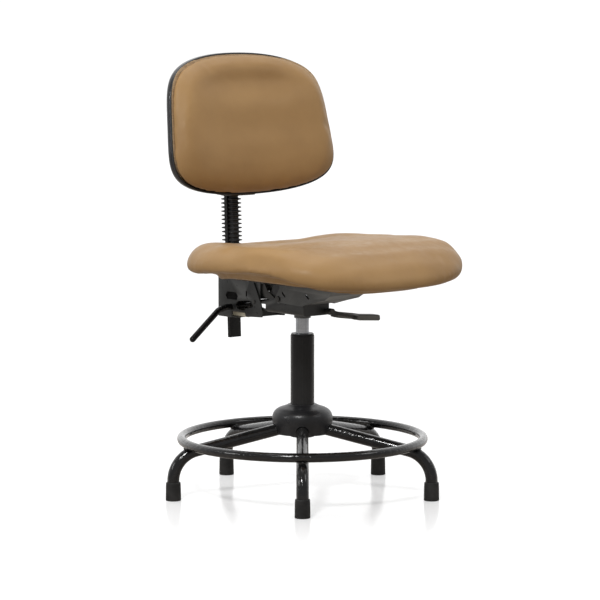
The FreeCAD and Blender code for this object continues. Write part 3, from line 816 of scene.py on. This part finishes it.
def makeWelds():
    tree, source, out = newTree("weldBead", {"spacing": "Float", "bead": "Float", "seed": "Int"})
    curve = add(tree, "GeometryNodeMeshToCurve", Mesh=source.outputs["Geometry"])
    spread = tree.nodes.new("GeometryNodeResampleCurve")
    spread.mode = "LENGTH"
    tree.links.new(curve.outputs[0], spread.inputs["Curve"])
    tree.links.new(source.outputs["spacing"], spread.inputs["Length"])
    drop = add(tree, "GeometryNodeMeshIcoSphere", Radius=source.outputs["bead"], Subdivisions=2)
    change = tree.nodes.new("FunctionNodeRandomValue")
    change.data_type = "FLOAT"
    change.inputs[2].default_value = 0.85                       # sockets 2 and 3 are the float Min and Max
    change.inputs[3].default_value = 1.15
    tree.links.new(source.outputs["seed"], change.inputs["Seed"])
    spots = add(tree, "GeometryNodeInstanceOnPoints", Points=spread.outputs[0])
    tree.links.new(drop.outputs["Mesh"], spots.inputs["Instance"])
    tree.links.new(change.outputs[1], spots.inputs["Scale"])
    endTree(tree, spots.outputs[0], out, blackPowder)
    points, edges = [], []
    reach, height = legForm["contact"]
    nr, nz = legForm["normal"]
    for leg in range(legForm["count"]):
        angle = math.radians(legForm["first"] + 72 * leg)
        first = len(points)
        for i in range(legForm["steps"]):
            turn = 2 * math.pi * i / legForm["steps"]
            u, v = legForm["across"] * math.cos(turn), legForm["along"] * math.sin(turn)
            lift = v * v / (2 * legForm["ringTube"]) - u * u / (2 * legForm["legTube"])
            lift -= v * v / (2 * legForm["legBend"])
            r = reach + nz * v + nr * lift
            z = height - nr * v + nz * lift
            x = r * math.cos(angle) - u * math.sin(angle)
            y = r * math.sin(angle) + u * math.cos(angle)
            points.append((x, y, z))
            edges.append((first + i, first + (i + 1) % legForm["steps"]))
    seed = bpy.data.meshes.new("weldPath")
    seed.from_pydata(points, edges, [])
    welds = growPiece("ringWelds", seed, tree, weldForm)
    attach(welds, "base")


makeWelds()
print("welds made")

# hard pieces keep the CAD shape
bodyOf = {}
for bodyName, members in frame["record"]["behaviour"]["bodies"].items():
    for member in members:
        bodyOf[member] = bodyName
tubes = ["foot_ring", "base_hub"] + ["leg_%d" % n for n in range(1, 6)]
hardSets = [
    (tubes, blackPowder, 0.0),
    (["column_tube"], columnBlack, 0.0),
    (["foot_tip_%d" % n for n in range(1, 6)], tipRubber, 0.0),
    (["hub_cover", "guide_bush"], hubPlastic, 0.0),
    (["height_lever_grip", "tilt_lever_grip"], gripPlastic, 0.0),
    (["lift_cylinder"], chromeSteel, 0.0),
    (["seat_plate", "taper_socket", "lever_lugs", "back_mount"], pressedSteel, 0.0005),
    (["mechanism_housing", "back_bracket"], housingSteel, 0.0005),
    (["height_lever_arm", "tilt_lever_arm", "clamp_plate"], darkSteel, 0.0005),
    (["clamp_lever"], columnBlack, 0.0),
    (["upright_bar"], columnBlack, 0.0005),
    (["nylon_wedge"], creamNylon, 0.0006),
    (["bar_guide", "lock_block"], hubPlastic, 0.0005),
    (["seat_pivot_pin", "back_pivot_pin", "friction_plates", "friction_bolt"], darkSteel, 0.0003),
    (["seat_bolts", "mount_bolts", "release_pin", "lever_pivot_pin"], zincSteel, 0.0003)]
for names, mat, bevel in hardSets:
    for name in names:
        dressNode(name, mat, bodyOf[name], bevel)
plainSets = [
    (["seat_board", "back_board"], plyBoard),
    (["piston_rod", "rod_clip", "piston", "bearing_balls", "bearing_upper_race", "rod_gland",
      "tube_end_plate", "bearing_lower_race"], zincSteel),
    (["bump_ring"], tipRubber)]
for names, mat in plainSets:
    for name in names:
        paint(nodes[name], mat)
print("hard pieces dressed")

# the floor shows white, and throws back less light than that on the chair
floorLook = {"reach": 14, "shown": (0.95, 0.95, 0.95), "thrown": (0.42, 0.38, 0.34), "rough": 0.16,
             "glow": 0.28}
reach = floorLook["reach"]
floorMesh = bpy.data.meshes.new("floorPlane")
floorMesh.from_pydata([(-reach, -reach, 0), (reach, -reach, 0), (reach, reach, 0), (-reach, reach, 0)],
                      [], [(0, 1, 2, 3)])
floorMat, floorTree, floorShader = newMaterial("paleFloor", floorLook["shown"], floorLook["rough"],
                                               specular=0.3)
floorShader.inputs["Emission Color"].default_value = (1, 1, 1, 1)
seen = floorTree.nodes.new("ShaderNodeLightPath").outputs["Is Camera Ray"]
bounce = floorTree.nodes.new("ShaderNodeMix")
bounce.data_type = "RGBA"
bounce.inputs["A"].default_value = (*floorLook["thrown"], 1)
bounce.inputs["B"].default_value = (*floorLook["shown"], 1)
floorTree.links.new(seen, bounce.inputs["Factor"])
floorTree.links.new(bounce.outputs["Result"], floorShader.inputs["Base Color"])
glow = floorTree.nodes.new("ShaderNodeMath")
glow.operation = "MULTIPLY"
glow.inputs[1].default_value = floorLook["glow"]
floorTree.links.new(seen, glow.inputs[0])
floorTree.links.new(glow.outputs[0], floorShader.inputs["Emission Strength"])
floor = addPiece("floorPlane", floorMesh, floorMat)

# the room is brightest behind the chair and dimmer all round
roomLook = {"towards": (0.643, 0.766, 0), "start": -0.2, "end": 0.75, "dim": 0.32, "bright": 1.05}
world = bpy.data.worlds.new("softRoom")
scene.world = world
world.use_nodes = True
room = world.node_tree
roomAt = room.nodes.new("ShaderNodeTexCoord")
ahead = room.nodes.new("ShaderNodeVectorMath")
ahead.operation = "DOT_PRODUCT"
ahead.inputs[1].default_value = roomLook["towards"]
room.links.new(roomAt.outputs["Generated"], ahead.inputs[0])
fade = room.nodes.new("ShaderNodeMapRange")
fade.interpolation_type = "SMOOTHSTEP"
fade.inputs["From Min"].default_value = roomLook["start"]
fade.inputs["From Max"].default_value = roomLook["end"]
fade.inputs["To Min"].default_value = roomLook["dim"]
fade.inputs["To Max"].default_value = roomLook["bright"]
room.links.new(ahead.outputs["Value"], fade.inputs["Value"])
room.links.new(fade.outputs["Result"], room.nodes["Background"].inputs["Strength"])
room.nodes["Background"].inputs["Color"].default_value = (1, 1, 1, 1)
# name, place, size in metres and power in watts of each soft light
lights = [("keyLight", (1.7, -2.9, 2.7), 1.0, 11), ("stripLight", (-2.3, -1.5, 2.6), 0.5, 52),
          ("topLight", (0.1, 0.1, 3.6), 2.2, 34), ("sideLight", (-2.6, 0.9, 1.3), 0.6, 8)]
for name, spot, size, power in lights:
    lamp = bpy.data.lights.new(name, "AREA")
    lamp.size = size
    lamp.energy = power
    holder = bpy.data.objects.new(name, lamp)
    holder.location = spot
    holder.rotation_euler = (Vector((0, 0, 0.5)) - Vector(spot)).to_track_quat("-Z", "Y").to_euler()
    scene.collection.objects.link(holder)
print("floor and light made")
